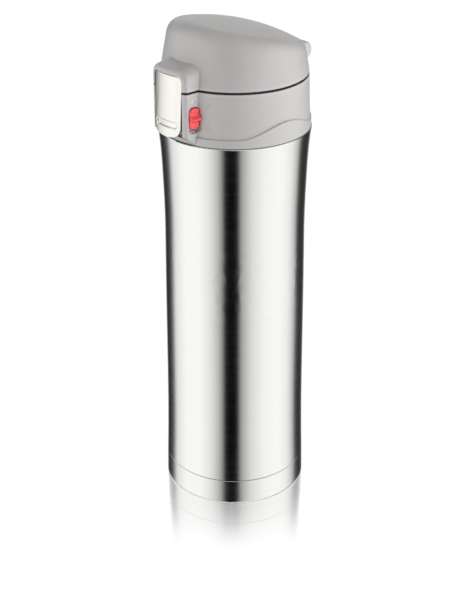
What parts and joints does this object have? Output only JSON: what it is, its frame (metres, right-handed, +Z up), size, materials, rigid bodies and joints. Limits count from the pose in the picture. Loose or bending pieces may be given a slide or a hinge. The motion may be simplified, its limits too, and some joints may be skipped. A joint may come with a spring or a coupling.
{
  "type": "insulated travel mug",
  "caption": "Tall vacuum-insulated steel travel mug with a grey screw lid, slanted flip cap, steel push button and red lock slider.",
  "frame": {"origin": "on the mug's axis, in the plane of the foot ring it stands on", "axes": "+Z up along the mug's axis; the push button faces -Y, the cap's hinge is at +Y; +X is the lock slider's side"},
  "size_m": [0.0676, 0.0766, 0.2288],
  "materials": {
    "shell_steel": "satin brushed round the body",
    "liner_steel": "electropolished satin",
    "base_steel": "satin brushed round the body",
    "vacuum_steel": "mill finish",
    "getter_metal": "dull",
    "bead_metal": "matt, melted",
    "lid_plastic": "fine satin texture, warm grey",
    "collar_plastic": "fine satin texture, warm grey",
    "cap_plastic": "fine satin texture, warm grey",
    "inner_plastic": "matt, dark grey",
    "spout_plastic": "satin, dark grey",
    "silicone": "matt, translucent white",
    "pin_steel": "bright turned",
    "spring_steel": "bright drawn wire",
    "plate_steel": "satin brushed",
    "lever_plastic": "matt grey",
    "slider_red": "satin red"
  },
  "bodies": {
    "flask": {"outer_shell": "shell_steel", "inner_liner": "liner_steel", "vacuum_bottom": "vacuum_steel", "seal_bead": "bead_metal", "getter_capsule": "getter_metal", "base_cap": "base_steel"},
    "gasket": {"stopper_gasket": "silicone"},
    "lid": {"lid_housing": "lid_plastic", "wave_collar": "collar_plastic", "stopper": "inner_plastic", "spout": "spout_plastic", "spout_gasket": "silicone", "button_pin": "pin_steel", "button_spring": "spring_steel", "hinge_pin": "pin_steel", "hinge_spring": "spring_steel"},
    "button": {"button_plate": "plate_steel", "button_lever": "lever_plastic"},
    "lock": {"lock_slider": "slider_red"},
    "cap": {"cap_shell": "cap_plastic", "cap_liner": "inner_plastic", "spout_seal": "silicone", "latch_catch": "pin_steel"}
  },
  "joints": [
    {"name": "lid_rise", "type": "slide", "parent": "flask", "child": "gasket", "axis": [0, 0, 1], "range_m": [0, 0.01501]},
    {"name": "lid_turn", "type": "hinge", "parent": "gasket", "child": "lid", "pos_m": [0, 0, 0.19], "axis": [0, 0, 1], "range_deg": [0, 900]},
    {"name": "cap_flip", "type": "hinge", "parent": "lid", "child": "cap", "pos_m": [0, 0.033, 0.2083], "axis": [-1, 0, 0], "range_deg": [0, 110], "deforming": ["hinge_spring"]},
    {"name": "button_press", "type": "hinge", "parent": "lid", "child": "button", "pos_m": [0, -0.0332, 0.2002], "axis": [1, 0, 0], "range_deg": [0, 8], "stiffness_Nm_per_rad": 0.15, "springref_deg": -2.86, "deforming": ["button_spring"]},
    {"name": "lock_slide", "type": "slide", "parent": "lid", "child": "lock", "axis": [0, 0, -1], "range_m": [0, 0.0018]}
  ],
  "couplings": [
    {"joint": "lid_rise", "follows": "lid_turn", "m_per_rad": 0.00095493}
  ]
}
